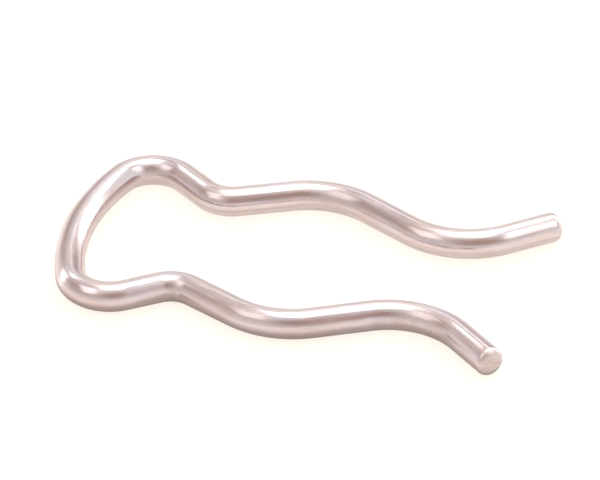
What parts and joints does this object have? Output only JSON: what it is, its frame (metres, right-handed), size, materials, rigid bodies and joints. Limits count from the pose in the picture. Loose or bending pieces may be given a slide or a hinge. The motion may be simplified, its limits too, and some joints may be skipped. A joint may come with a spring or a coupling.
{
  "type": "wire retaining clip",
  "caption": "Flat spring-wire retaining clip: a bowed closed head, wavy legs that snap round a grooved shaft at their rounded seat, and a flared open mouth.",
  "frame": {"origin": "centre of the shaft's seat, in the middle plane of the wire", "axes": "+X from the closed head to the open mouth, +Y across the clip, +Z along the shaft; the clip lies flat in XY"},
  "size_m": [0.0317, 0.0178, 0.002],
  "materials": {
    "spring_wire": "bright drawn spring wire, smooth, with faint lengthwise draw lines"
  },
  "bodies": {
    "root": {"wire_clip": "spring_wire"}
  },
  "joints": []
}
